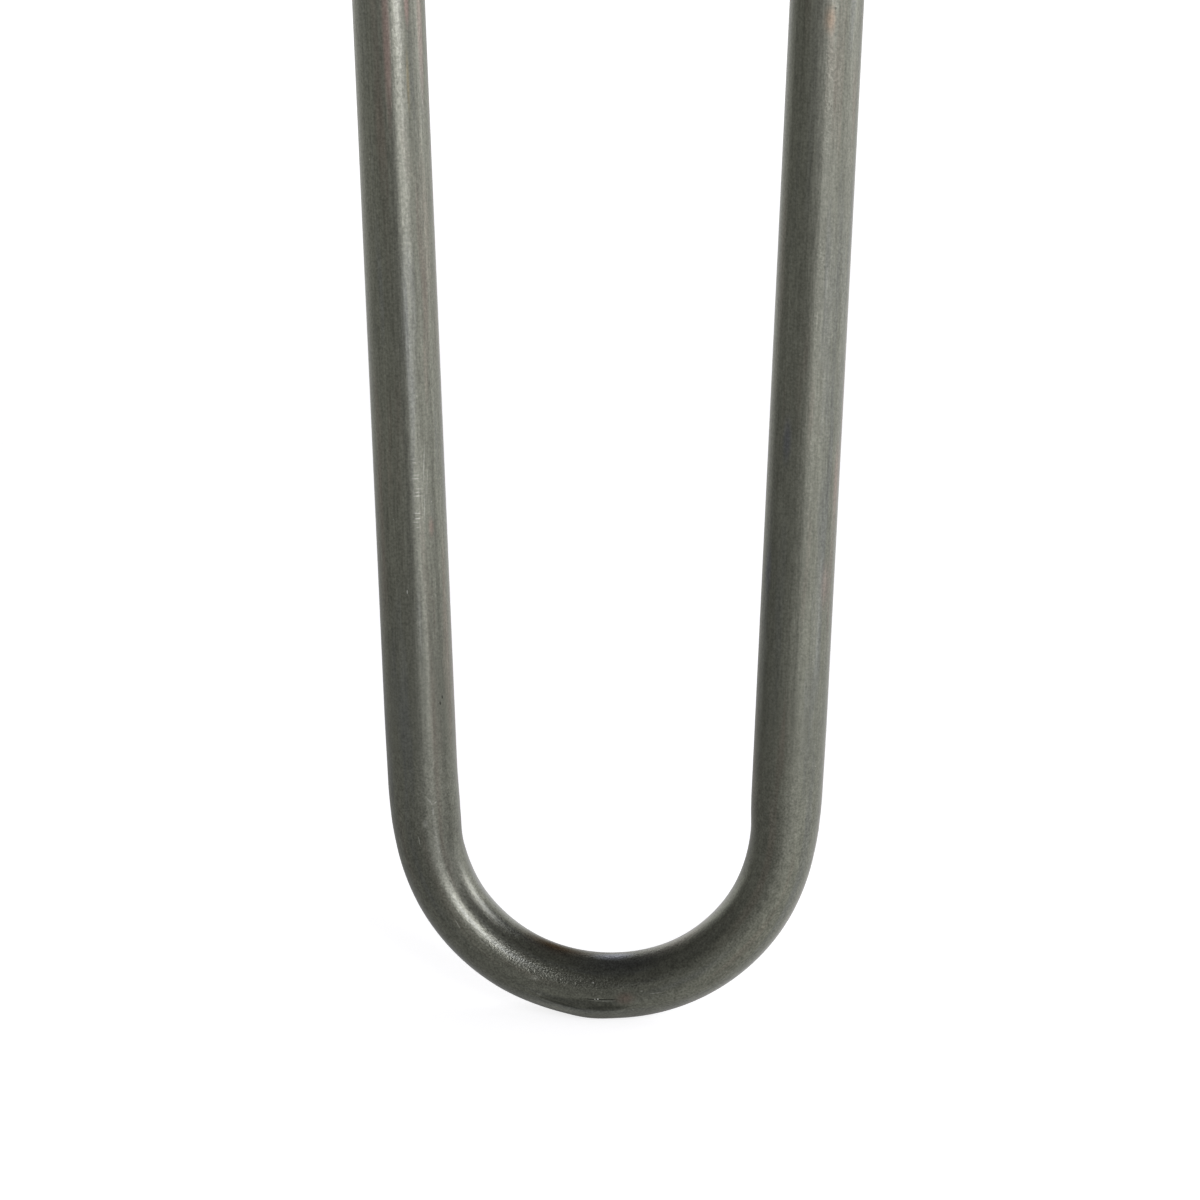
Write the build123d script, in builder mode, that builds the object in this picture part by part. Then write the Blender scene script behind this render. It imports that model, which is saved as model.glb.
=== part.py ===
from build123d import *
from math import acos, atan2, cos, degrees, hypot, radians, sin
import os

os.makedirs("parts", exist_ok=True)

# Driving dimensions, in millimetres and degrees
leg_height = 711.0  # floor to the plate's top face
splay_angle = 7.0  # lean of the whole hairpin, foot outwards

rod_diameter = 12.0  # round bar before bending
bend_inside_radius = 25.6  # what the former leaves after spring-back
bend_thickness = 10.9  # bar squeezed by the former, in the hairpin's plane
bend_width = 12.4  # bar spread by that squeeze, across the plane
squeeze_angle = 15.0  # stretch of the bend over which round turns to oval
seat_spacing = 113.0  # between the two bar ends, where they meet the plate

foot_flat_angle = -103.0  # where the die pressed the underside, round the bend
foot_flat_depth = 0.25
die_mark_angle = -97.0  # where the die's edge bit the front of the foot
die_mark_tilt = 37.0  # from facing straight forward towards the floor
die_mark_depth = 0.2

plate_depth = 100.0
plate_thickness = 5.0
plate_corner_radius = 8.0
plate_edge_break = 0.5  # deburred edges
plate_end_margin = 13.5  # middle of a bar end to the plate's end
plate_front_margin = 15.0  # middle of the bar ends to the plate's front edge

screw_hole_diameter = 6.5
screw_to_rod = 21.5  # hole to bar end along the plate, for the screw head and driver
screw_edge_distance = 15.0  # hole to the plate's front and back edges

weld_leg = 5.0  # reach of the fillet along the bar and along the plate
weld_bulge = 0.7  # convex rise of the bead over a straight fillet

# Sizes that follow from them
splay = radians(splay_angle)
rod_radius = rod_diameter / 2
bend_radius = bend_inside_radius + bend_thickness / 2
bend_outside_radius = bend_inside_radius + bend_thickness
plate_length = seat_spacing + 2 * plate_end_margin
screw_spacing_x = seat_spacing - 2 * screw_to_rod
screw_spacing_y = plate_depth - 2 * screw_edge_distance

# Middle of the bend: its height puts the oval bar's lowest point on the floor
foot_drop = bend_radius * cos(splay) + hypot(bend_thickness / 2 * cos(splay), bend_width / 2 * sin(splay))
bend_height = foot_drop - leg_height
run_reach = (-plate_thickness - bend_height) / cos(splay)
bend_front = plate_front_margin - plate_depth / 2 - run_reach * sin(splay)

# Each run is the tangent from its seat under the plate to the bend
seat_distance = hypot(seat_spacing / 2, run_reach)
spread_angle = degrees(acos(bend_radius / seat_distance) - atan2(run_reach, seat_spacing / 2))
run_length = (run_reach + bend_radius * sin(radians(spread_angle))) / cos(radians(spread_angle))
run_overrun = rod_diameter  # spare length, trimmed flush with the plate
oval_start = -spread_angle - squeeze_angle

# The hairpin's own plane: x to the right, y up the leg, z out of its front
leg_plane = Plane(origin=(0, bend_front, bend_height), x_dir=(1, 0, 0), z_dir=(0, -cos(splay), sin(splay)))
seat_plane = Plane.XY.offset(-plate_thickness)


def across_bar(angle):
    """Plane square to the bar, with its x pointing away from the middle of the bend."""
    return Plane(leg_plane.location * Rot(Z=angle) * Pos(X=bend_radius) * Rot(X=-90))


# Bent bar: right-hand run and its squeezed start, mirrored, then the oval bend between them
with BuildPart() as hairpin_rod:
    with BuildSketch(across_bar(-spread_angle)):
        Circle(rod_radius)
    extrude(amount=run_length + run_overrun)
    split(bisect_by=seat_plane, keep=Keep.BOTTOM)

    with BuildLine(leg_plane):
        CenterArc((0, 0), bend_radius, -spread_angle, -squeeze_angle)
    with BuildSketch(across_bar(-spread_angle)):
        Circle(rod_radius)
    with BuildSketch(across_bar(oval_start)):
        Ellipse(bend_thickness / 2, bend_width / 2)
    sweep(multisection=True)
    mirror(about=Plane.YZ)

    with BuildSketch(across_bar(-180 - oval_start)):
        Ellipse(bend_thickness / 2, bend_width / 2)
    revolve(axis=Axis(leg_plane.origin, leg_plane.z_dir), revolution_arc=180 + 2 * oval_start)

    # Flat on the underside and the narrow bite beside it, left by the bending die
    foot_face = leg_plane.location * Rot(Z=foot_flat_angle) * Pos(X=bend_outside_radius - foot_flat_depth)
    split(bisect_by=Plane(foot_face * Rot(Y=90)), keep=Keep.BOTTOM)
    mark_lean = radians(die_mark_tilt)
    mark_rise = hypot(bend_thickness / 2 * sin(mark_lean), bend_width / 2 * cos(mark_lean)) - die_mark_depth
    mark_face = leg_plane.location * Rot(Z=die_mark_angle) * Pos(X=bend_radius) * Rot(Y=die_mark_tilt)
    split(bisect_by=Plane(mark_face * Pos(Z=mark_rise)), keep=Keep.BOTTOM)

# Plate that screws to the underside of the table top
with BuildPart() as mounting_plate:
    with BuildSketch(seat_plane):
        RectangleRounded(plate_length, plate_depth, plate_corner_radius)
        with GridLocations(screw_spacing_x, screw_spacing_y, 2, 2):
            Circle(screw_hole_diameter / 2, mode=Mode.SUBTRACT)
    extrude(amount=plate_thickness)
    outline = mounting_plate.faces().sort_by(Axis.Z)
    chamfer([outline[0].outer_wire().edges(), outline[-1].outer_wire().edges()], plate_edge_break)

# Fillet weld round the right-hand bar end, trimmed by the plate it runs onto
run_end = leg_plane.location * Rot(Z=-spread_angle) * Pos(bend_radius, run_length)
with BuildPart() as right_weld:
    with BuildSketch(Plane(run_end)):
        with BuildLine():
            toe = (rod_radius, -weld_leg)
            edge = (rod_radius + weld_leg, 0)
            SagittaArc(toe, edge, weld_bulge)
            Polyline(edge, (rod_radius + weld_leg, weld_leg), (rod_radius, weld_leg), toe)
        make_face()
    revolve(axis=Axis(run_end.position, Plane(run_end).y_dir))
    split(bisect_by=seat_plane, keep=Keep.BOTTOM)

with BuildPart() as left_weld:
    mirror(right_weld.part, about=Plane.YZ)

# One file for each piece
hairpin_rod.part.label = "hairpin_rod"
mounting_plate.part.label = "mounting_plate"
left_weld.part.label = "left_weld"
right_weld.part.label = "right_weld"
export_step(hairpin_rod.part, "parts/hairpin_rod.step")
export_step(mounting_plate.part, "parts/mounting_plate.step")
export_step(left_weld.part, "parts/left_weld.step")
export_step(right_weld.part, "parts/right_weld.step")
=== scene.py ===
import math
import random

import bmesh
import bpy
from mathutils import Matrix, Vector


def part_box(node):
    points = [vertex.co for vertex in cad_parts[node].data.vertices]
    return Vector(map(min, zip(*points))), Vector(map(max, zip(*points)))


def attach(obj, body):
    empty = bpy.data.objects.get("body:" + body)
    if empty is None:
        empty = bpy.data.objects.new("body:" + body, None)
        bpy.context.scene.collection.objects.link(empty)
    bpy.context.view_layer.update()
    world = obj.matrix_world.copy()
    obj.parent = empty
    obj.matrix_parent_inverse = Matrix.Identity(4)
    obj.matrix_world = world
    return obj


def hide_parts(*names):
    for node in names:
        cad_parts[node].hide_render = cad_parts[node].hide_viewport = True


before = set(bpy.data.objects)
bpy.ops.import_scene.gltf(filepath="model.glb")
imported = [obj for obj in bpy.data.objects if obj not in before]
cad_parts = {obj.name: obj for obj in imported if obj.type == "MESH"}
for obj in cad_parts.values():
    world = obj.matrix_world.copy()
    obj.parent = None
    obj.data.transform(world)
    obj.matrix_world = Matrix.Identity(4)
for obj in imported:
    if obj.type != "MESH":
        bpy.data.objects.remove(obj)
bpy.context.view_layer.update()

mm = 0.001
sameSpot = 1e-6  # metres: points nearer than this are one
onPlane = 1e-5   # and points nearer to a plane than this lie on it
sharpTurn = 40   # degrees: an edge that turns more than this stays sharp
plateLow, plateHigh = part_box("mounting_plate")
seatHeight = plateLow.z  # underside of the plate, where the bar ends stop

# the leg's own sizes, in metres and degrees
leg = {
    "height": 711 * mm,
    "splay": 7.0,                # lean of the whole hairpin, foot outwards
    "barDiameter": 12 * mm,
    "bendInside": 25.6 * mm,
    "bendThickness": 10.9 * mm,  # squeezed in the hairpin's plane
    "bendWidth": 12.4 * mm,      # and spread across it
    "seatSpacing": 113 * mm,
    "frontMargin": 15 * mm,      # bar ends to the plate's front edge
}
splay = math.radians(leg["splay"])
barRadius = leg["barDiameter"] / 2
halfThick = leg["bendThickness"] / 2
halfWide = leg["bendWidth"] / 2
bendRadius = leg["bendInside"] + halfThick
floorHeight = plateHigh.z - leg["height"]
footDrop = math.hypot(halfThick * math.cos(splay), halfWide * math.sin(splay))
bendHeight = floorHeight + bendRadius * math.cos(splay) + footDrop
runReach = (seatHeight - bendHeight) / math.cos(splay)
bendFront = plateLow.y + leg["frontMargin"] - runReach * math.sin(splay)
bendCentre = Vector((0, bendFront, bendHeight))
halfSeat = leg["seatSpacing"] / 2
spread = math.acos(bendRadius / math.hypot(halfSeat, runReach)) - math.atan2(runReach, halfSeat)
runLength = (runReach + bendRadius * math.sin(spread)) / math.cos(spread)
bendEnd = math.pi / 2 - spread  # angle from the bend's bottom to the start of a run


def deselectAll():
    if bpy.context.object and bpy.context.object.mode != "OBJECT":
        bpy.ops.object.mode_set(mode="OBJECT")
    bpy.ops.object.select_all(action="DESELECT")


def ease(place, start, end):
    share = min(max((place - start) / (end - start), 0), 1)
    return share * share * (3 - 2 * share)


def towards(turn, rise):
    # degrees: turn goes round from straight in front to the right, rise is above level
    turn, rise = math.radians(turn), math.radians(rise)
    return Vector((math.sin(turn) * math.cos(rise), -math.cos(turn) * math.cos(rise), math.sin(rise)))


def runAxes(way):
    # out of the bend and up the run, for the left run (way -1) or the right one (way 1)
    outward = Vector((way * math.cos(spread), 0, -math.sin(spread)))
    along = Vector((way * math.sin(spread), 0, math.cos(spread)))
    return outward, along


# camera, fitted to the two runs and the bend
photoView = {
    "azimuth": 9.0988,
    "elevation": 15.8601,
    "roll": -0.976,
    "lens": 97.883,
    "sensor": 36,
    "clip": (0.01, 60),
    "aim": (-0.001485, -0.107735, -0.640888),
    "distance": 0.55258,
}


def addCamera():
    back = towards(photoView["azimuth"], photoView["elevation"])
    deselectAll()
    bpy.ops.object.camera_add(location=Vector(photoView["aim"]) + back * photoView["distance"])
    cam = bpy.context.active_object
    cam.name = "photo_camera"
    facing = (-back).to_track_quat("-Z", "Y").to_matrix()
    roll = Matrix.Rotation(math.radians(photoView["roll"]), 3, "Z")
    cam.rotation_mode = "QUATERNION"
    cam.rotation_quaternion = (facing @ roll).to_quaternion()
    cam.data.lens = photoView["lens"]
    cam.data.sensor_width = photoView["sensor"]
    cam.data.clip_start, cam.data.clip_end = photoView["clip"]
    bpy.context.scene.camera = cam


addCamera()
print("camera placed")

# bent bar, first about the middle of its bend: x to the right, z up the leg, front towards -y
bar = {
    "around": 128,            # points round the section
    "bendSteps": 280,
    "nearRun": 180 * mm,      # finely divided part of each run, above the bend
    "nearCuts": 90,
    "farCuts": 70,
    "spare": 12 * mm,         # trimmed off flush with the plate
    # how the former leaves each wall, in steps: from and to, in mm past the start of the bend,
    # and the change of half thickness between them, in mm
    "outerWall": ((-18, -3, -0.12), (-5, 5.5, -0.49), (8, 18, 0.07)),
    "innerRight": ((-4, 2.5, -0.20), (-2, 19, -0.40), (28, 47, 0.20)),
    "innerLeft": ((-8, 1, 0.24), (1.5, 8, -0.42), (6, 20, -0.44), (28, 47, 0.22)),
    "spreadOut": ((-6, 12, 0.20),),
    # the foot, in mm along the bar from its bottom: a flat left of it, and the corner where it stops
    "footFlat": {"at": -9.5, "reach": 7.0, "depth": 0.10},
    "footCorner": {"at": -1.6, "reach": 4.5, "rise": 0.17},
    # the bite of the die's edge on the front of the foot
    "dieMark": {"at": -1.0, "half": 9.0, "round": 66.0, "depth": 0.11},
}


def selectEdges(piece, wanted):
    bpy.ops.mesh.select_all(action="DESELECT")
    bpy.context.tool_settings.mesh_select_mode = (False, True, False)
    mesh = bmesh.from_edit_mesh(piece.data)
    for edge in mesh.edges:
        edge.select_set(wanted(edge))
    bmesh.update_edit_mesh(piece.data)


def extendRun(piece, start, along, length, cuts):
    # draw the open ring at start out along the run, then divide the new length
    def atStart(vert):
        away = vert.co - start
        return away.length < leg["barDiameter"] and abs(away.dot(along)) < onPlane

    def openRing(edge):
        return edge.is_boundary and all(atStart(vert) for vert in edge.verts)

    def drawnOut(edge):
        return abs(edge.calc_length() - length) < sameSpot and any(atStart(vert) for vert in edge.verts)

    selectEdges(piece, openRing)
    bpy.ops.mesh.extrude_region_move(TRANSFORM_OT_translate={"value": along * length})
    selectEdges(piece, drawnOut)
    bpy.ops.mesh.subdivide(number_cuts=cuts)


def makeBar():
    leftOut, leftAlong = runAxes(-1)
    deselectAll()
    bpy.ops.mesh.primitive_circle_add(
        vertices=bar["around"], radius=barRadius, location=leftOut * bendRadius, rotation=(0, -spread, 0))
    piece = bpy.context.active_object
    piece.name = "hairpin_bar"
    bpy.ops.object.transform_apply(location=True, rotation=True, scale=True)
    bpy.ops.object.mode_set(mode="EDIT")
    bpy.ops.mesh.select_all(action="SELECT")
    bpy.ops.mesh.spin(steps=bar["bendSteps"], angle=2 * bendEnd, center=(0, 0, 0), axis=(0, 1, 0))
    farRun = runLength + bar["spare"] - bar["nearRun"]
    for way in (1, -1):
        outward, along = runAxes(way)
        start = outward * bendRadius
        extendRun(piece, start, along, bar["nearRun"], bar["nearCuts"])
        extendRun(piece, start + along * bar["nearRun"], along, farRun, bar["farCuts"])
    bpy.ops.mesh.select_all(action="SELECT")
    bpy.ops.mesh.remove_doubles(threshold=sameSpot)
    bpy.ops.mesh.normals_make_consistent(inside=False)
    bpy.ops.object.mode_set(mode="OBJECT")
    return piece


def placeOnBar(point):
    # where a point lies on the bar before it was bent:
    # the middle line beside it, the way outwards, and the length from the bottom
    angle = math.atan2(point.x, -point.z)
    if abs(angle) <= bendEnd:
        outward = Vector((math.sin(angle), 0, -math.cos(angle)))
        return outward * bendRadius, outward, angle * bendRadius
    way = math.copysign(1, point.x)
    outward, along = runAxes(way)
    reach = point.dot(along)
    return outward * bendRadius + along * reach, outward, way * (bendEnd * bendRadius + reach)


def wallChange(steps, past):
    return sum(change * ease(past, start, end) for start, end, change in steps) * mm


def shapeBar(piece):
    # the former squeezes the bar between its inner and outer walls and lets it spread across
    grain = piece.data.attributes.new("barGrain", "FLOAT_VECTOR", "POINT")
    flat, corner, mark = bar["footFlat"], bar["footCorner"], bar["dieMark"]
    markTurn = math.radians(mark["round"])
    for vert, cell in zip(piece.data.vertices, grain.data):
        middle, outward, length = placeOnBar(vert.co)
        out = (vert.co - middle).dot(outward)
        front = -vert.co.y
        cell.vector = (out, front, length)
        past = (bendEnd * bendRadius - abs(length)) / mm
        if past < bar["outerWall"][0][0]:
            continue  # still round
        if out > 0:
            half = barRadius + wallChange(bar["outerWall"], past)
            half -= flat["depth"] * mm * (1 - ease(abs(length / mm - flat["at"]), 0, flat["reach"]))
            half += corner["rise"] * mm * (1 - ease(abs(length / mm - corner["at"]), 0, corner["reach"]))
        else:
            half = barRadius + wallChange(bar["innerLeft" if length < 0 else "innerRight"], past)
        wide = barRadius + wallChange(bar["spreadOut"], past)
        out, front = out * half / barRadius, front * wide / barRadius
        # flatten what stands past the die's plane
        bite = mark["depth"] * mm * (1 - ease(abs(length / mm - mark["at"]), 0, mark["half"]))
        level = math.hypot(half * math.cos(markTurn), wide * math.sin(markTurn)) - bite
        over = out * math.cos(markTurn) + front * math.sin(markTurn) - level
        if over > 0:
            out -= over * math.cos(markTurn)
            front -= over * math.sin(markTurn)
        vert.co = middle + outward * out - Vector((0, front, 0))


def seatPiece(piece):
    # lean the piece with the leg, set it on the bend's middle and trim it flush with the plate
    piece.rotation_euler = (-splay, 0, 0)
    piece.location = bendCentre
    deselectAll()
    piece.select_set(True)
    bpy.context.view_layer.objects.active = piece
    bpy.ops.object.transform_apply(location=True, rotation=True, scale=True)
    bpy.ops.object.mode_set(mode="EDIT")
    bpy.ops.mesh.select_all(action="SELECT")
    bpy.ops.mesh.bisect(plane_co=(0, 0, seatHeight), plane_no=(0, 0, 1), use_fill=True, clear_outer=True)
    bpy.ops.object.mode_set(mode="OBJECT")
    bpy.ops.object.shade_smooth_by_angle(angle=math.radians(sharpTurn))


barPiece = makeBar()
shapeBar(barPiece)
seatPiece(barPiece)
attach(barPiece, "root")
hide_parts("hairpin_rod")
print("bar made,", len(barPiece.data.polygons), "faces")

# weld beads round the two bar ends
weld = {
    "leg": 5 * mm,             # reach along the bar and along the plate
    "bulge": 0.7 * mm,
    "facePoints": 15,          # along the bead's face, from its toe on the bar to its edge on the plate
    "around": 384,
    "ripples": 32,             # one for each dab of the weld pool
    "rippleRise": 0.32 * mm,
    "rippleFront": 0.2,        # share of a ripple that its steep front takes
    "rippleSweep": 0.9,        # how far a ripple's middle trails behind its ends, in ripples
    "dabSizes": (0.6, 1.25),   # smallest and largest, against a usual dab
    "sink": 0.4 * mm,          # hidden overlap with the bar and the plate
    "seed": 7,
}
beadSlant = math.sqrt(0.5)     # the bead's face leans half way between the bar and the plate


def beadProfile():
    # radius and height above the bar's end, from the toe round to the toe
    reach, sink = weld["leg"], weld["sink"]
    points = []
    for i in range(weld["facePoints"]):
        share = i / (weld["facePoints"] - 1)
        crown = weld["bulge"] * (1 - (2 * share - 1) ** 2) * beadSlant
        points.append((barRadius + reach * share + crown, reach * (share - 1) - crown))
    points.append((barRadius + reach, sink))
    points.append((barRadius - sink, sink))
    points.append((barRadius - sink, -reach + sink))
    return points


def rippleSwell(turn, share, dabs):
    # each dab rises steeply at its front and dies away to the next, most in the middle of the face
    off = 2 * share - 1
    step = turn / (2 * math.pi) * weld["ripples"] + weld["rippleSweep"] * (1 - off ** 2)
    past = step % 1
    rise = dabs[int(step) % weld["ripples"]] * weld["rippleRise"]
    return rise * ease(past, 0, weld["rippleFront"]) * (1 - past) * (1 - off ** 4)


def makeWeld(way, name):
    profile = beadProfile()
    outward, along = runAxes(way)
    across = Vector((0, 1, 0))
    plateUp = Vector((0, -math.sin(splay), math.cos(splay)))  # square to the plate, for the leaning leg
    barEnd = outward * bendRadius + along * runLength
    deselectAll()
    bpy.ops.mesh.primitive_circle_add(vertices=len(profile), radius=barRadius)
    piece = bpy.context.active_object
    piece.name = name
    for vert, (radius, height) in zip(piece.data.vertices, profile):
        vert.co = (radius, 0, height)
    bpy.ops.object.mode_set(mode="EDIT")
    bpy.ops.mesh.select_all(action="SELECT")
    bpy.ops.mesh.spin(steps=weld["around"], angle=2 * math.pi, center=(0, 0, 0), axis=(0, 0, 1))
    bpy.ops.mesh.select_all(action="SELECT")
    bpy.ops.mesh.remove_doubles(threshold=sameSpot)
    bpy.ops.object.mode_set(mode="OBJECT")
    draw = random.Random(weld["seed"] + way)
    dabs = [draw.uniform(*weld["dabSizes"]) for i in range(weld["ripples"])]
    for vert in piece.data.vertices:
        turn = math.atan2(vert.co.y, vert.co.x) % (2 * math.pi)
        radius, height = math.hypot(vert.co.x, vert.co.y), vert.co.z
        share = min(max((radius - barRadius) / weld["leg"], 0), 1)
        spoke = outward * math.cos(turn) + across * math.sin(turn)
        onFace = radius > barRadius - onPlane and height < onPlane
        swell = rippleSwell(turn, share, dabs) * beadSlant if onFace else 0
        # how much higher or lower than the bar's end the leaning plate is here
        plate = -radius * spoke.dot(plateUp) / along.dot(plateUp)
        vert.co = barEnd + spoke * (radius + swell) + along * (height + plate * share - swell)
    bpy.ops.object.mode_set(mode="EDIT")
    bpy.ops.mesh.select_all(action="SELECT")
    bpy.ops.mesh.normals_make_consistent(inside=False)
    bpy.ops.object.mode_set(mode="OBJECT")
    seatPiece(piece)
    return piece


welds = []
for way, side in ((-1, "left"), (1, "right")):
    bead = makeWeld(way, side + "_weld_bead")
    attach(bead, "root")
    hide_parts(side + "_weld")
    welds.append(bead)
print("welds made,", len(welds[0].data.polygons), "faces each")


def toLinear(hexColour):
    parts = [int(hexColour[i:i + 2], 16) / 255 for i in (1, 3, 5)]
    return [c / 12.92 if c <= 0.04045 else ((c + 0.055) / 1.055) ** 2.4 for c in parts] + [1]


def addNode(tree, kind, inputs=None, **settings):
    node = tree.nodes.new(kind)
    for name, value in settings.items():
        setattr(node, name, value)
    for socket, value in (inputs or {}).items():
        if isinstance(value, bpy.types.NodeSocket):
            tree.links.new(value, node.inputs[socket])
        else:
            node.inputs[socket].default_value = value
    return node


def startMaterial(name):
    made = bpy.data.materials.new(name)
    made.use_nodes = True
    made.node_tree.nodes.clear()
    return made, made.node_tree


def addPatterns(tree, place, patterns):
    # place is in mm; each pattern has its size along x, y and z in mm, and how far it lightens and darkens
    tone, found = None, {}
    for name, (sizes, contrast) in patterns.items():
        spot = addNode(tree, "ShaderNodeMapping", {
            "Vector": place, "Scale": [1 / size for size in sizes]}).outputs[0]
        found[name] = addNode(tree, "ShaderNodeTexNoise", {
            "Vector": spot, "Scale": 1.0, "Detail": 3.0, "Roughness": 0.55}).outputs["Fac"]
        # nearly all of the noise lies between 0.3 and 0.7
        part = addNode(tree, "ShaderNodeMapRange", {
            "Value": found[name], "From Min": 0.3, "From Max": 0.7,
            "To Min": 1 - contrast, "To Max": 1 + contrast}, clamp=False).outputs[0]
        tone = part if tone is None else addNode(
            tree, "ShaderNodeMath", {0: tone, 1: part}, operation="MULTIPLY").outputs[0]
    return tone, found


def addOxide(tree, place, steel):
    # one noise gives every tint: each has its colour, the noise where it starts and where it is full,
    # and its strength there
    oxide = steel["oxide"]
    spot = addNode(tree, "ShaderNodeMapping", {
        "Vector": place, "Scale": [1 / size for size in oxide["size"]]}).outputs[0]
    cloud = addNode(tree, "ShaderNodeTexNoise", {
        "Vector": spot, "Scale": 1.0, "Detail": oxide["detail"]}).outputs["Fac"]
    colour = toLinear(steel["colour"])
    for shade, start, full, strength in oxide["tints"]:
        share = addNode(tree, "ShaderNodeMapRange", {
            "Value": cloud, "From Min": start, "From Max": full, "To Max": strength}).outputs[0]
        colour = addNode(tree, "ShaderNodeMix", {
            0: share, 6: colour, 7: toLinear(shade)}, data_type="RGBA").outputs[2]
    return colour


def addHeat(tree, colour, away, beadEdge, patches, steel):
    # the colours that welding leaves, from the bead's edge outwards, with a wavering border
    heat = steel["heat"]
    waver = addNode(tree, "ShaderNodeMath", {
        0: patches, 1: heat["waver"], 2: away}, operation="MULTIPLY_ADD").outputs[0]
    start = beadEdge + heat["waver"] / 2
    reach = heat["tints"][-1][0]
    place = addNode(tree, "ShaderNodeMapRange", {
        "Value": waver, "From Min": start, "From Max": start + reach}).outputs[0]
    tint = addNode(tree, "ShaderNodeValToRGB", {"Fac": place})
    ramp = tint.color_ramp.elements
    for at, shade in heat["tints"][1:-1]:
        ramp.new(at / reach)
    for stop, (at, shade) in zip(ramp, heat["tints"]):
        stop.color = toLinear(shade)
    share = addNode(tree, "ShaderNodeMapRange", {
        "Value": waver, "From Min": start + reach, "From Max": start + heat["full"],
        "To Max": heat["strength"]}).outputs[0]
    return addNode(tree, "ShaderNodeMix", {
        0: share, 6: colour, 7: tint.outputs["Color"]}, data_type="RGBA").outputs[2]


def finishSteel(made, tree, colour, roughness, normal, edge=(1, 1, 1, 1)):
    shader = addNode(tree, "ShaderNodeBsdfPrincipled", {
        "Base Color": colour, "Metallic": 1.0, "Roughness": roughness,
        "Normal": normal, "Specular Tint": edge})
    addNode(tree, "ShaderNodeOutputMaterial", {"Surface": shader.outputs["BSDF"]})
    return made


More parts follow.
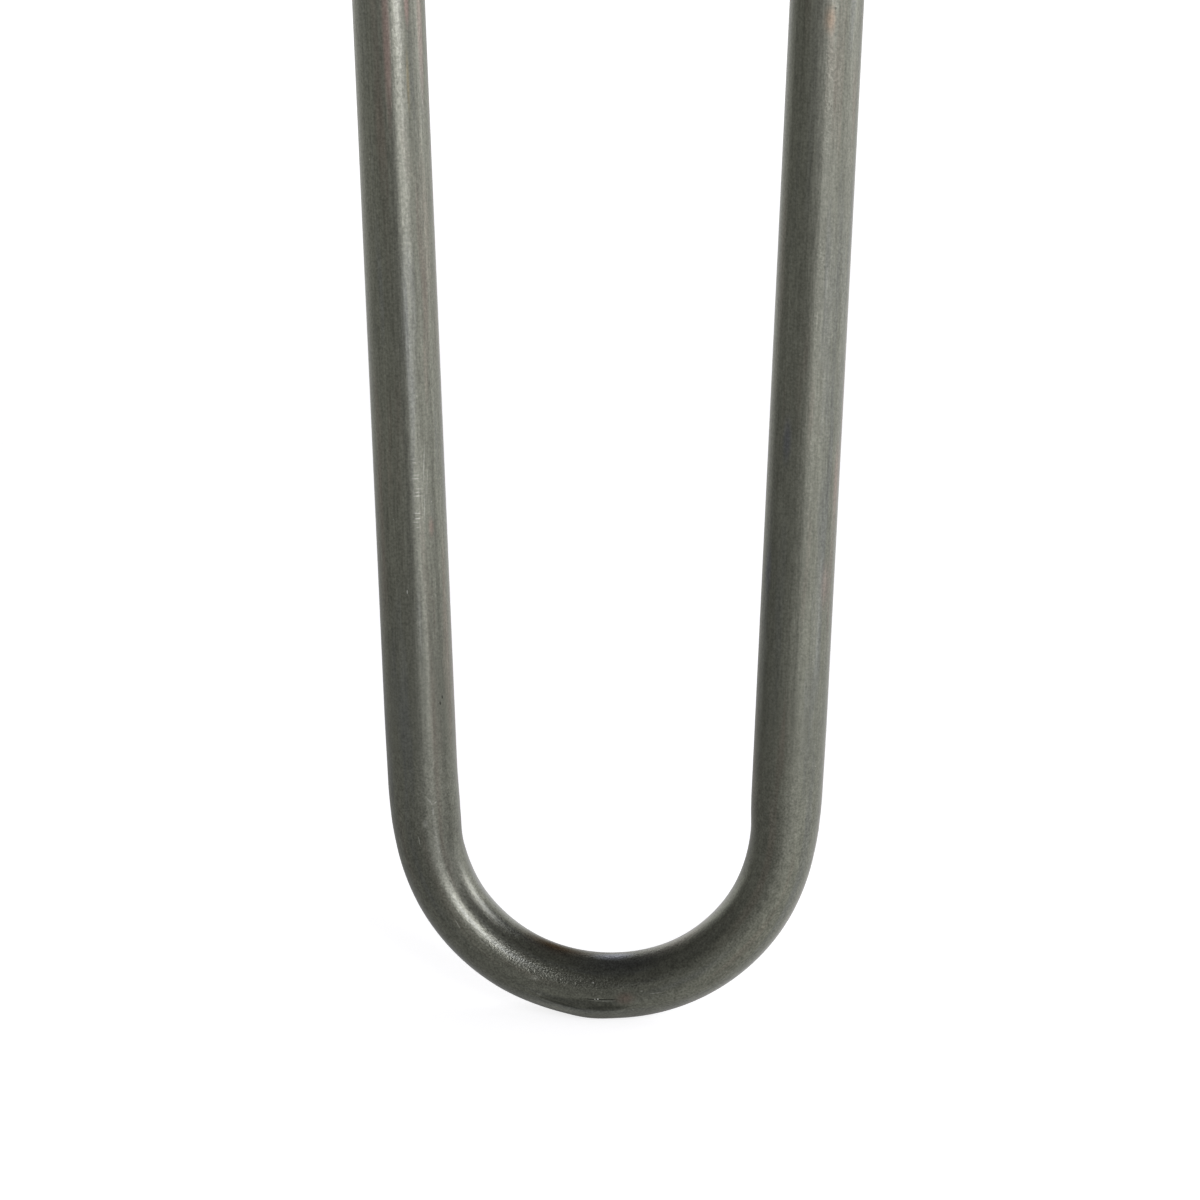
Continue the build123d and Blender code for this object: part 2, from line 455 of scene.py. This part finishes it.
# the bar's steel, with its patterns laid on the straight bar, so that they go round the bend with it
barSteel = {
    "colour": "#65665c",
    "roughness": 0.41,
    "bendRoughness": 0.345,      # rubbed smoother by the former
    "innerRoughness": 0.29,      # and most on the inside
    "innerFrom": 35.0,           # degrees round the bar from its front
    "innerTo": 75.0,
    "unevenGloss": 0.12,
    "bendFrom": 41.0,            # mm along the bar from its bottom
    "bendTo": 31.0,
    "stretchFrom": 80.0,         # where the drawn lines begin to give way to the stretched skin of the bend
    "stretchTo": 46.0,
    # size out of the bend, to the front and along the bar: real drawing lines and pores are finer,
    # and are drawn this coarse so that they show
    "patterns": {
        "lines": ((0.9, 0.9, 60), 0.125),
        "shortLines": ((0.35, 0.35, 4), 0.165),
        "speckle": ((0.42, 0.42, 0.42), 0.22),
        "patches": ((5, 5, 24), 0.06),
    },
    "bendPatterns": {
        "lines": ((0.6, 0.6, 30), 0.06),
        "speckle": ((0.37, 0.37, 0.37), 0.33),
        "mottle": ((1.1, 1.1, 1.7), 0.14),
    },
    # thin oxide in long patches, brown on the noise's high side and blue on its low side
    "oxide": {
        "size": (3.0, 3.0, 45),
        "detail": 4.0,
        "tints": (("#6e5f56", 0.54, 0.72, 0.4), ("#565a62", 0.44, 0.28, 0.3)),
    },
    "dust": {"spacing": 1.5, "size": 0.12, "share": 0.35, "colour": "#9a9b93", "strength": 0.45},
    "lineHeight": 0.015,         # mm
    # skin stretched over the foot, drawn coarse and high enough to show: heights and places in mm
    "wrinkle": {"size": 0.35, "runs": 0.018, "foot": 0.066, "from": 26.0, "to": 12.0},
    # mm from the weld's toe, with the tint strongest as far as full
    "heat": {
        "tints": ((0, "#43423f"), (5, "#454a54"), (9, "#51474c"), (14, "#6b6350"), (22, "#65665c")),
        "full": 10.2,
        "waver": 6.0,
        "strength": 0.8,
    },
    "dulledAndShadedShine": "#77716a",         # what painted shade and dirt leave of the steel's glancing shine, a painted shade on its reflections
    # place along the bar (mm) and round it (degrees, 0 in front, 90 inside the bend),
    # length and width (mm), turn (degrees), softness, colour and strength
    # painted shade under the foot and inside the bend, and a brown stain on the inside edge
    "shadeAndDirt": (
        (-2.0, -78, 46, 10, 0, 0.9, "#35352f", 0.5),         # painted shade under the foot
        (-3.0, 92, 42, 8, 0, 0.9, "#45443e", 0.34),          # painted shade inside the bend
        (-10.4, 78, 21, 6, 0, 1.0, "#47382f", 0.7),
    ),
    # real marks and stains, with painted shade and painted highlight among them
    "marksAndPaintedLight": (
        (-66.0, 32, 84, 15, 0, 0.9, "#50514a", 0.5),         # painted shade: darker lengths of the bar that tone down its highlights and the foot's front
        (180.0, 15, 150, 14, 0, 0.9, "#54554c", 0.55),
        (95.0, 36, 150, 9, 0, 0.9, "#50514a", 0.5),
        (32.0, 24, 64, 8.5, 0, 0.9, "#4d4e47", 0.42),
        (-4.0, 12, 42, 5.5, 0, 0.9, "#3d3e38", 0.42),
        (12.0, 0, 30, 5, 0, 0.9, "#3d3e38", 0.35),
        (-118.0, 11.5, 190, 2.0, 0, 0.9, "#45463f", 0.6),    # painted shade: darker streaks along the runs that set where their highlights end
        (110.0, -14, 220, 2.6, 0, 0.6, "#55564d", 0.4),
        (130.0, -49, 170, 2.6, 0, 0.8, "#4b4c44", 0.42),
        (-180.0, 30, 140, 1.6, 0, 0.6, "#7f8075", 0.35),     # painted highlight: lighter streaks and lengths that brighten the runs and their highlights
        (-70.0, 28, 76, 1.6, 0, 0.9, "#7f8075", 0.32),
        (140.0, -31, 120, 1.6, 0, 0.6, "#7f8075", 0.25),
        (-215.0, -8, 140, 5.5, 0, 0.9, "#83847a", 0.55),
        (-205.0, 26, 90, 2.2, 0, 0.9, "#8d8e84", 0.55),
        (205.0, 7, 150, 4.6, 0, 0.9, "#83847a", 0.6),
        (84.0, -39, 34, 2.0, 0, 0.9, "#7f8075", 0.35),
        (-7.2, -45, 14, 2.6, 0, 0.9, "#8a8b80", 0.4),
        (-40.0, 27, 26, 16, 0, 0.9, "#45463f", 0.5),         # painted shade: a darker band where the former let go, holding back the highlight there
        (4.0, 55, 28, 6, 0, 0.9, "#45464c", 0.55),           # painted shade: a darker, faintly bluish band above the foot
        (-2.6, -20, 18, 3.0, 3, 0.6, "#33342e", 0.58),       # the die's bite
        (1.4, -27, 10, 1.8, 3, 0.7, "#1f201c", 0.6),         # deepest here, darkened further as painted shade
        (-6.0, -29, 9, 0.7, -5, 0.5, "#1f201c", 0.5),        # its tail
        (0.6, -8, 6.6, 0.28, 0, 0.4, "#1f201c", 0.85),       # painted shade along the crease over it
        # painted highlight on the crease's upper lip
        (0.8, -10.5, 4.2, 0.2, 0, 0.5, "#9b9c93", 0.35),
        (0.1, -7, 0.35, 0.3, 0, 0.5, "#d4d5ce", 0.8),
        (-0.4, -7.5, 0.3, 0.25, 0, 0.5, "#c4c5be", 0.7),
        (4.7, -8, 4.6, 3.8, 0, 1.0, "#684a42", 0.32),        # rust blush beside it
        (2.4, 78, 12, 3.4, 0, 0.9, "#a0a4b3", 0.6),          # painted highlight along the inside rim, where the former polished it
        (7.7, 1, 0.7, 0.2, 0, 0.5, "#a3a49b", 0.5),          # scratches
        (9.9, -8.5, 2.8, 0.18, -11, 0.6, "#a3a49b", 0.5),
        (-0.8, 21, 0.35, 0.3, 0, 0.5, "#c9cac3", 0.8),
        (-43.2, 0, 1.9, 0.2, 0, 0.6, "#a3a49b", 0.55),
        (-27.4, 0, 2.7, 0.22, -10, 0.6, "#a3a49b", 0.5),
        (-49.9, 22, 1.9, 0.45, 35, 1.0, "#a3a49b", 0.32),    # painted highlight along a wrinkle that forks, and a faint one below it
        (-49.6, 30.5, 1.4, 0.45, -53, 1.0, "#a3a49b", 0.28),
        (-48.0, 26.5, 2.6, 0.5, 0, 1.0, "#a3a49b", 0.32),
        (-43.0, 28, 11.0, 1.3, 0, 1.0, "#93948b", 0.18),
        (-46.0, 13, 2.2, 1.3, 0, 1.0, "#96978e", 0.28),      # smudges
        (-11.1, 6, 2.6, 1.3, 20, 0.9, "#8b8c83", 0.5),
        (-9.6, -21, 2.0, 0.8, 10, 0.9, "#8b8c83", 0.45),
        (-102.0, 33, 26, 2.2, 0, 0.9, "#7f8075", 0.35),      # scuffed patch on the left run, lighter as a painted highlight
        (-108.1, 20, 0.26, 1.7, 0, 1.0, "#a9aaa1", 0.26),    # with scratches across it
        (-107.5, 21, 0.26, 1.6, 4, 1.0, "#a9aaa1", 0.24),
        (-105.4, 23, 0.26, 1.7, 0, 1.0, "#a9aaa1", 0.26),
        (-104.8, 23, 0.28, 2.0, -3, 1.0, "#b4b5ac", 0.34),
        (-103.1, 25, 0.28, 1.6, 0, 1.0, "#a9aaa1", 0.28),
        (-102.5, 25, 0.3, 1.4, 5, 1.0, "#b4b5ac", 0.36),
        (-101.9, 24, 0.3, 2.0, 0, 1.0, "#b4b5ac", 0.42),
        (-99.0, 22, 0.32, 1.9, -6, 1.0, "#b4b5ac", 0.42),
        (-98.1, 23, 0.32, 1.7, 0, 1.0, "#b4b5ac", 0.45),
        (-97.5, 20, 0.26, 1.8, 0, 1.0, "#a9aaa1", 0.3),
        (-96.6, 22, 0.26, 1.6, 8, 1.0, "#a9aaa1", 0.28),
        (-107.0, 37, 9.0, 0.22, -5, 0.7, "#9b9c93", 0.45),   # and along it
        (-103.5, 41, 7.0, 0.2, -4, 0.7, "#9b9c93", 0.4),
        (-100.0, 35, 6.0, 0.2, -3, 0.7, "#9b9c93", 0.4),
        (-96.5, 46, 4.5, 1.6, 0, 0.9, "#7c6860", 0.4),       # rust tint below them
        (-67.5, 53, 0.7, 0.4, 0, 0.4, "#262722", 0.8),       # two pits
        (-66.5, 48.5, 0.8, 0.45, 0, 0.5, "#262722", 0.75),
        (-85.8, 1, 0.8, 0.25, 0, 0.4, "#b9bab2", 0.7),       # bright nick
        (-177.0, 6, 36, 1.8, 0, 0.8, "#85726a", 0.6),        # stains up the runs
        (-182.6, 41, 10, 1.3, 0, 0.8, "#85726a", 0.6),
        (-178.0, 68, 30, 2.2, 0, 0.8, "#7d7066", 0.5),
        (-170.3, 38, 14, 0.8, 0, 0.9, "#7a7158", 0.5),
        (180.2, -11, 6.5, 3.0, 0, 1.0, "#7b6450", 0.38),
        (182.0, -19, 0.6, 0.45, 0, 0.5, "#33342e", 0.7),
        (112.4, 24, 11, 2.4, 0, 0.9, "#4d4f59", 0.5),
        (90.6, 51, 12, 2.4, 0, 0.9, "#4d4f59", 0.5),
        (105.9, -70, 18, 2.4, 0, 0.9, "#7d6c63", 0.5),
        (88.5, -54, 11, 3.0, 0, 0.9, "#7a6c67", 0.4),
    ),
}


def addDust(tree, place, colour):
    # light specks, one at most in each cell of the bar's skin
    dust = barSteel["dust"]
    cells = addNode(tree, "ShaderNodeTexVoronoi", {"Vector": place, "Scale": 1 / dust["spacing"]})
    edge = dust["size"] / dust["spacing"]
    speck = addNode(tree, "ShaderNodeMapRange", {
        "Value": cells.outputs["Distance"], "From Min": edge, "From Max": edge / 2}).outputs[0]
    pick = addNode(tree, "ShaderNodeSeparateColor", {0: cells.outputs["Color"]}).outputs[0]
    kept = addNode(tree, "ShaderNodeMath", {0: pick, 1: dust["share"]}, operation="LESS_THAN").outputs[0]
    shown = addNode(tree, "ShaderNodeMath", {
        0: kept, 1: dust["strength"]}, operation="MULTIPLY").outputs[0]
    share = addNode(tree, "ShaderNodeMath", {0: speck, 1: shown}, operation="MULTIPLY").outputs[0]
    return addNode(tree, "ShaderNodeMix", {
        0: share, 6: colour, 7: toLinear(dust["colour"])}, data_type="RGBA").outputs[2]


def addMarksAndPaintedLight(tree, skin, colour):
    # each mark is a soft oval on the bar's skin laid flat, and the painted shade and dirt rows dull the
    # glancing shine as well, a painted shade on its reflections
    edge = (1, 1, 1, 1)
    for kind in ("shadeAndDirt", "marksAndPaintedLight"):
        for along, turned, long, wide, turn, soft, shade, strength in barSteel[kind]:
            local = addNode(tree, "ShaderNodeMapping", {
                "Vector": skin,
                "Location": (along, math.radians(turned) * barRadius / mm, 0),
                "Rotation": (0, 0, math.radians(turn)),
                "Scale": (long / 2, wide / 2, 1)}, vector_type="TEXTURE").outputs[0]
            away = addNode(tree, "ShaderNodeVectorMath", {0: local}, operation="LENGTH").outputs["Value"]
            share = addNode(tree, "ShaderNodeMapRange", {
                "Value": away, "From Min": 1.0, "From Max": 1.0 - soft, "To Max": strength},
                interpolation_type="SMOOTHSTEP").outputs[0]
            colour = addNode(tree, "ShaderNodeMix", {
                0: share, 6: colour, 7: toLinear(shade)}, data_type="RGBA").outputs[2]
            # these rows also paint shade onto the glancing reflection
            if kind == "shadeAndDirt":
                edge = addNode(tree, "ShaderNodeMix", {
                    0: share, 6: edge, 7: toLinear(barSteel["dulledAndShadedShine"])}, data_type="RGBA").outputs[2]
    return colour, edge


def drawnSteel():
    # cold-drawn mild steel left raw: dark satin, fine lines along the bar, thin oxide in faint brown and blue
    made, tree = startMaterial("drawn_mild_steel")
    grain = addNode(tree, "ShaderNodeAttribute", attribute_name="barGrain").outputs["Vector"]
    place = addNode(tree, "ShaderNodeVectorMath", {0: grain, "Scale": 1 / mm}, operation="SCALE").outputs[0]
    axes = addNode(tree, "ShaderNodeSeparateXYZ", {0: place}).outputs
    inward = addNode(tree, "ShaderNodeMath", {0: axes["X"], 1: -1.0}, operation="MULTIPLY").outputs[0]
    around = addNode(tree, "ShaderNodeMath", {0: inward, 1: axes["Y"]}, operation="ARCTAN2").outputs[0]
    length = addNode(tree, "ShaderNodeMath", {0: axes["Z"]}, operation="ABSOLUTE").outputs[0]
    bend = addNode(tree, "ShaderNodeMapRange", {
        "Value": length, "From Min": barSteel["bendFrom"], "From Max": barSteel["bendTo"]},
        interpolation_type="SMOOTHSTEP").outputs[0]
    stretch = addNode(tree, "ShaderNodeMapRange", {
        "Value": length, "From Min": barSteel["stretchFrom"], "From Max": barSteel["stretchTo"]},
        interpolation_type="SMOOTHSTEP").outputs[0]

    # drawn lines up the runs, stretched skin round the bend
    runTone, found = addPatterns(tree, place, barSteel["patterns"])
    bendTone, bendFound = addPatterns(tree, place, barSteel["bendPatterns"])
    tone = addNode(tree, "ShaderNodeMix", {0: stretch, 2: runTone, 3: bendTone}).outputs[0]
    fine = addNode(tree, "ShaderNodeMix", {
        0: stretch, 2: found["shortLines"], 3: bendFound["speckle"]}).outputs[0]

    colour = addOxide(tree, place, barSteel)
    barTop = (bendEnd * bendRadius + runLength - weld["leg"]) / mm
    fromWeld = addNode(tree, "ShaderNodeMath", {0: barTop, 1: length}, operation="SUBTRACT").outputs[0]
    colour = addHeat(tree, colour, fromWeld, 0, found["patches"], barSteel)
    colour = addDust(tree, place, colour)
    girth = addNode(tree, "ShaderNodeMath", {0: around, 1: barRadius / mm}, operation="MULTIPLY").outputs[0]
    skin = addNode(tree, "ShaderNodeCombineXYZ", {"X": axes["Z"], "Y": girth}).outputs[0]
    colour, edge = addMarksAndPaintedLight(tree, skin, colour)
    colour = addNode(tree, "ShaderNodeVectorMath", {0: colour, "Scale": tone}, operation="SCALE").outputs[0]

    # gloss: smoother round the bend and most on its inside, uneven with the lines and the speckle
    rubbed = addNode(tree, "ShaderNodeMapRange", {
        "Value": around,
        "From Min": math.radians(barSteel["innerFrom"]), "From Max": math.radians(barSteel["innerTo"]),
        "To Min": barSteel["bendRoughness"], "To Max": barSteel["innerRoughness"]}).outputs[0]
    rough = addNode(tree, "ShaderNodeMapRange", {
        "Value": bend, "To Min": barSteel["roughness"], "To Max": rubbed}).outputs[0]
    uneven = addNode(tree, "ShaderNodeMath", {
        0: fine, 1: found["speckle"]}, operation="SUBTRACT").outputs[0]
    rough = addNode(tree, "ShaderNodeMath", {
        0: uneven, 1: barSteel["unevenGloss"], 2: rough}, operation="MULTIPLY_ADD").outputs[0]

    # skin: fine lines everywhere, wrinkles where the bend stretched it
    wrinkle = barSteel["wrinkle"]
    peel = addNode(tree, "ShaderNodeTexNoise", {
        "Vector": place, "Scale": 1 / wrinkle["size"], "Detail": 2.0}).outputs["Fac"]
    depth = addNode(tree, "ShaderNodeMapRange", {
        "Value": length, "From Min": wrinkle["from"], "From Max": wrinkle["to"],
        "To Min": wrinkle["runs"], "To Max": wrinkle["foot"]}).outputs[0]
    wrinkled = addNode(tree, "ShaderNodeMath", {0: peel, 1: depth}, operation="MULTIPLY").outputs[0]
    height = addNode(tree, "ShaderNodeMath", {
        0: fine, 1: barSteel["lineHeight"], 2: wrinkled}, operation="MULTIPLY_ADD").outputs[0]
    bump = addNode(tree, "ShaderNodeBump", {"Strength": 1.0, "Distance": mm, "Height": height}).outputs[0]
    return finishSteel(made, tree, colour, rough, bump, edge)


# the plate's steel
plateSteel = {
    "colour": "#7e7e78",
    "roughness": 0.5,
    "unevenGloss": 0.1,
    # size along the plate, across it and through it, with lines and pores drawn coarse enough to show
    "patterns": {
        "rolled": ((70, 0.9, 0.9), 0.10),
        "mottle": ((0.8, 0.8, 0.8), 0.10),
        "patches": ((16, 11, 11), 0.08),
    },
    "oxide": {
        "size": (26, 9, 9),
        "detail": 4.0,
        "tints": (("#7c6d61", 0.5, 0.72, 0.7),),
    },
    "lineHeight": 0.006,         # mm
    # mm past the bead's edge, with the tint strongest as far as full
    "heat": {
        "tints": ((0, "#403f3c"), (5, "#464c57"), (9, "#544a4f"), (14, "#7b725c"), (22, "#7e7e78")),
        "full": 13.2,
        "waver": 7.0,
        "strength": 0.8,
    },
}


def rolledSteel():
    # hot-rolled flat bar, cut and deburred: dull grey skin, faint lines along it, tints by the welds
    made, tree = startMaterial("rolled_mild_steel")
    spot = addNode(tree, "ShaderNodeTexCoord").outputs["Object"]
    place = addNode(tree, "ShaderNodeVectorMath", {0: spot, "Scale": 1 / mm}, operation="SCALE").outputs[0]
    tone, found = addPatterns(tree, place, plateSteel["patterns"])
    colour = addOxide(tree, place, plateSteel)
    beadEdge = (barRadius + weld["leg"]) / mm
    for way in (-1, 1):
        centre = (way * halfSeat / mm, (plateLow.y + leg["frontMargin"]) / mm, seatHeight / mm)
        away = addNode(tree, "ShaderNodeVectorMath", {
            0: place, 1: centre}, operation="DISTANCE").outputs["Value"]
        colour = addHeat(tree, colour, away, beadEdge, found["patches"], plateSteel)
    colour = addNode(tree, "ShaderNodeVectorMath", {0: colour, "Scale": tone}, operation="SCALE").outputs[0]
    rough = addNode(tree, "ShaderNodeMapRange", {
        "Value": found["mottle"],
        "To Min": plateSteel["roughness"] - plateSteel["unevenGloss"],
        "To Max": plateSteel["roughness"] + plateSteel["unevenGloss"]}).outputs[0]
    height = addNode(tree, "ShaderNodeMath", {
        0: found["mottle"], 1: found["rolled"]}, operation="ADD").outputs[0]
    bump = addNode(tree, "ShaderNodeBump", {
        "Strength": 1.0, "Distance": plateSteel["lineHeight"] * mm, "Height": height}).outputs[0]
    return finishSteel(made, tree, colour, rough, bump)


# the weld beads' steel
weldSteel = {
    "colour": "#5e5d58",
    "roughness": 0.38,
    "unevenGloss": 0.12,
    "patterns": {
        "speckle": ((0.35, 0.35, 0.35), 0.12),
        "patches": ((2.2, 2.2, 2.2), 0.14),
    },
    "oxide": {
        "size": (4, 4, 4),
        "detail": 3.0,
        "tints": (("#5f4b3c", 0.5, 0.66, 0.75), ("#454c5a", 0.48, 0.34, 0.75)),
    },
    "skinHeight": 0.02,          # mm
}


def weldMetal():
    # bead left as welded: rippled, glossier than the bar, tinted brown and blue as it cooled
    made, tree = startMaterial("weld_metal")
    spot = addNode(tree, "ShaderNodeTexCoord").outputs["Object"]
    place = addNode(tree, "ShaderNodeVectorMath", {0: spot, "Scale": 1 / mm}, operation="SCALE").outputs[0]
    tone, found = addPatterns(tree, place, weldSteel["patterns"])
    colour = addOxide(tree, place, weldSteel)
    colour = addNode(tree, "ShaderNodeVectorMath", {0: colour, "Scale": tone}, operation="SCALE").outputs[0]
    rough = addNode(tree, "ShaderNodeMapRange", {
        "Value": found["patches"],
        "To Min": weldSteel["roughness"] - weldSteel["unevenGloss"],
        "To Max": weldSteel["roughness"] + weldSteel["unevenGloss"]}).outputs[0]
    bump = addNode(tree, "ShaderNodeBump", {
        "Strength": 1.0, "Distance": weldSteel["skinHeight"] * mm, "Height": found["speckle"]}).outputs[0]
    return finishSteel(made, tree, colour, rough, bump)


def dress(piece, finish):
    piece.data.materials.clear()
    piece.data.materials.append(finish)


dress(barPiece, drawnSteel())
dress(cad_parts["mounting_plate"], rolledSteel())
weldFinish = weldMetal()
for bead in welds:
    dress(bead, weldFinish)
print("steel finished")

# stage: a paper sweep, flat underfoot and curved up well behind the leg, in metres
stage = {
    "width": 24.0,
    "front": -12.0,
    "back": 4.0,
    "curve": 1.5,
    "curveSteps": 24,
    "rise": 1.6,
    "paper": 0.5,             # share of the lamps' light that the paper gives back, which shows the shadow
    "paperRoughness": 0.9,
    "glow": (0.78, 1.0),      # added so that the paper is white to the camera, by the foot and far from it
    "glowReach": (0.4, 1.3),
    # the paper's painted glow as the steel mirrors it: painted shadow to the left of the leg, a painted pool
    # of light to its right, burnt out behind it
    "left": (0.26, 0.95),
    "leftReach": (-0.45, -1.6),
    "right": 1.0,
    "rightReach": (-0.075, 0.055),
    "rightLean": 0.25,        # its edge runs out to the right towards the front
    "behind": 1.2,
    "behindReach": (-0.15, 0.5),
}


def whitePaper(footLow):
    # matt studio paper: white to the camera apart from the leg's shadow, and a painted glow in zones to the
    # steel
    made, tree = startMaterial("white_paper")
    rays = addNode(tree, "ShaderNodeLightPath").outputs
    place = addNode(tree, "ShaderNodeTexCoord").outputs["Object"]
    # the painted glow that the steel mirrors: painted shadow left of the leg, painted light right of it and
    # behind
    level, leftEnd = stage["left"]
    for way, reach, end in (
            ((1, 0, 0), stage["leftReach"], leftEnd),
            ((1, stage["rightLean"], 0), stage["rightReach"], stage["right"]),
            ((0, 1, 0), stage["behindReach"], stage["behind"])):
        reached = addNode(tree, "ShaderNodeVectorMath", {0: place, 1: way}, operation="DOT_PRODUCT")
        level = addNode(tree, "ShaderNodeMapRange", {
            "Value": reached.outputs["Value"], "From Min": reach[0], "From Max": reach[1],
            "To Min": level, "To Max": end}, interpolation_type="SMOOTHSTEP").outputs[0]
    bent = addNode(tree, "ShaderNodeMath", {
        0: rays["Is Glossy Ray"], 1: rays["Is Transmission Ray"]}, operation="MAXIMUM").outputs[0]
    mirrored = addNode(tree, "ShaderNodeMath", {0: bent, 1: level}, operation="MULTIPLY").outputs[0]
    away = addNode(tree, "ShaderNodeVectorMath", {
        0: place, 1: (0, bendFront, footLow)}, operation="DISTANCE").outputs["Value"]
    seen = addNode(tree, "ShaderNodeMapRange", {
        "Value": away, "From Min": stage["glowReach"][0], "From Max": stage["glowReach"][1],
        "To Min": stage["glow"][0], "To Max": stage["glow"][1]}, interpolation_type="SMOOTHSTEP").outputs[0]
    shown = addNode(tree, "ShaderNodeMath", {
        0: rays["Is Camera Ray"], 1: seen, 2: mirrored}, operation="MULTIPLY_ADD").outputs[0]
    shader = addNode(tree, "ShaderNodeBsdfPrincipled", {
        "Base Color": [stage["paper"]] * 3 + [1],
        "Roughness": stage["paperRoughness"],
        "Specular IOR Level": 0.0,
        "Emission Color": (1, 1, 1, 1),
        "Emission Strength": shown,
    })
    addNode(tree, "ShaderNodeOutputMaterial", {"Surface": shader.outputs["BSDF"]})
    return made


def addSweep():
    deselectAll()
    back = stage["back"]
    middle = (back + stage["front"]) / 2
    footLow = min(vert.co.z for vert in barPiece.data.vertices)
    bpy.ops.mesh.primitive_plane_add(size=1, location=(0, middle, footLow))
    sweep = bpy.context.active_object
    sweep.name = "paper_sweep"
    sweep.scale = (stage["width"], back - stage["front"], 1)
    bpy.ops.object.transform_apply(location=True, rotation=True, scale=True)
    bpy.ops.object.mode_set(mode="EDIT")
    selectEdges(sweep, lambda edge: all(vert.co.y > back - onPlane for vert in edge.verts))
    bpy.ops.mesh.spin(
        steps=stage["curveSteps"], angle=-math.pi / 2,
        center=(0, back, footLow + stage["curve"]), axis=(1, 0, 0))
    bpy.ops.mesh.extrude_region_move(TRANSFORM_OT_translate={"value": (0, 0, stage["rise"])})
    bpy.ops.mesh.select_all(action="SELECT")
    bpy.ops.mesh.normals_make_consistent(inside=False)
    bpy.ops.object.mode_set(mode="OBJECT")
    bpy.ops.object.shade_smooth()
    dress(sweep, whitePaper(footLow))


addSweep()
print("stage set")

# soft lamps, seen from the bend: turn and rise as for the camera, roll about the lamp's own axis (degrees),
# distance and size (metres) and power (watts)
lamps = {
    "front_softbox": {
        "turn": 31.0, "rise": 22.5, "roll": 16.0, "distance": 1.6, "size": (0.48, 0.74), "power": 14.0},
    "side_softbox": {
        "turn": 111.7, "rise": 26.0, "roll": 0.0, "distance": 0.9, "size": (0.30, 0.40), "power": 2.65},
    "side_card": {
        "turn": 90.0, "rise": 5.0, "roll": 0.0, "distance": 1.0, "size": (1.1, 0.5), "power": 3.3},
    "left_card": {
        "turn": -92.0, "rise": 33.0, "roll": 0.0, "distance": 1.0, "size": (0.9, 0.4), "power": 0.25},
}
lampColour = (0.92, 0.905, 1.0)  # a little cool


def addLamps():
    for name, setup in lamps.items():
        toward = towards(setup["turn"], setup["rise"])
        deselectAll()
        bpy.ops.object.light_add(type="AREA", location=bendCentre + toward * setup["distance"])
        lamp = bpy.context.active_object
        lamp.name = name
        roll = Matrix.Rotation(math.radians(setup["roll"]), 3, "Z")
        lamp.rotation_euler = (toward.to_track_quat("Z", "Y").to_matrix() @ roll).to_euler()
        lamp.data.shape = "RECTANGLE"
        lamp.data.size, lamp.data.size_y = setup["size"]
        lamp.data.energy = setup["power"]
        lamp.data.color = lampColour
        lamp.visible_camera = False


addLamps()
print("lamps hung")

# the room: white to the camera, and to the steel pale at its own level and dim overhead
room = {
    "level": 0.9,
    "overhead": 0.24,
    "overheadFrom": 0.45,  # height of a direction, as a share, from which it counts as overhead
}


def addRoom():
    world = bpy.data.worlds.new("studio")
    bpy.context.scene.world = world
    world.use_nodes = True
    tree = world.node_tree
    tree.nodes.clear()
    facing = addNode(tree, "ShaderNodeTexCoord").outputs["Generated"]
    axes = addNode(tree, "ShaderNodeSeparateXYZ", {0: facing}).outputs
    level = addNode(tree, "ShaderNodeMapRange", {
        "Value": axes["Z"], "From Min": 0.0, "From Max": room["overheadFrom"],
        "To Min": room["level"], "To Max": room["overhead"]}, interpolation_type="SMOOTHSTEP").outputs[0]
    rays = addNode(tree, "ShaderNodeLightPath").outputs
    seen = addNode(tree, "ShaderNodeMath", {
        0: rays["Is Camera Ray"], 1: rays["Is Transmission Ray"]}, operation="MAXIMUM").outputs[0]
    white = addNode(tree, "ShaderNodeMath", {0: seen, 1: level}, operation="MAXIMUM").outputs[0]
    back = addNode(tree, "ShaderNodeBackground", {"Color": (1, 1, 1, 1), "Strength": white})
    addNode(tree, "ShaderNodeOutputWorld", {"Surface": back.outputs[0]})


addRoom()
bpy.context.scene.view_settings.view_transform = "Standard"
print("room lit")
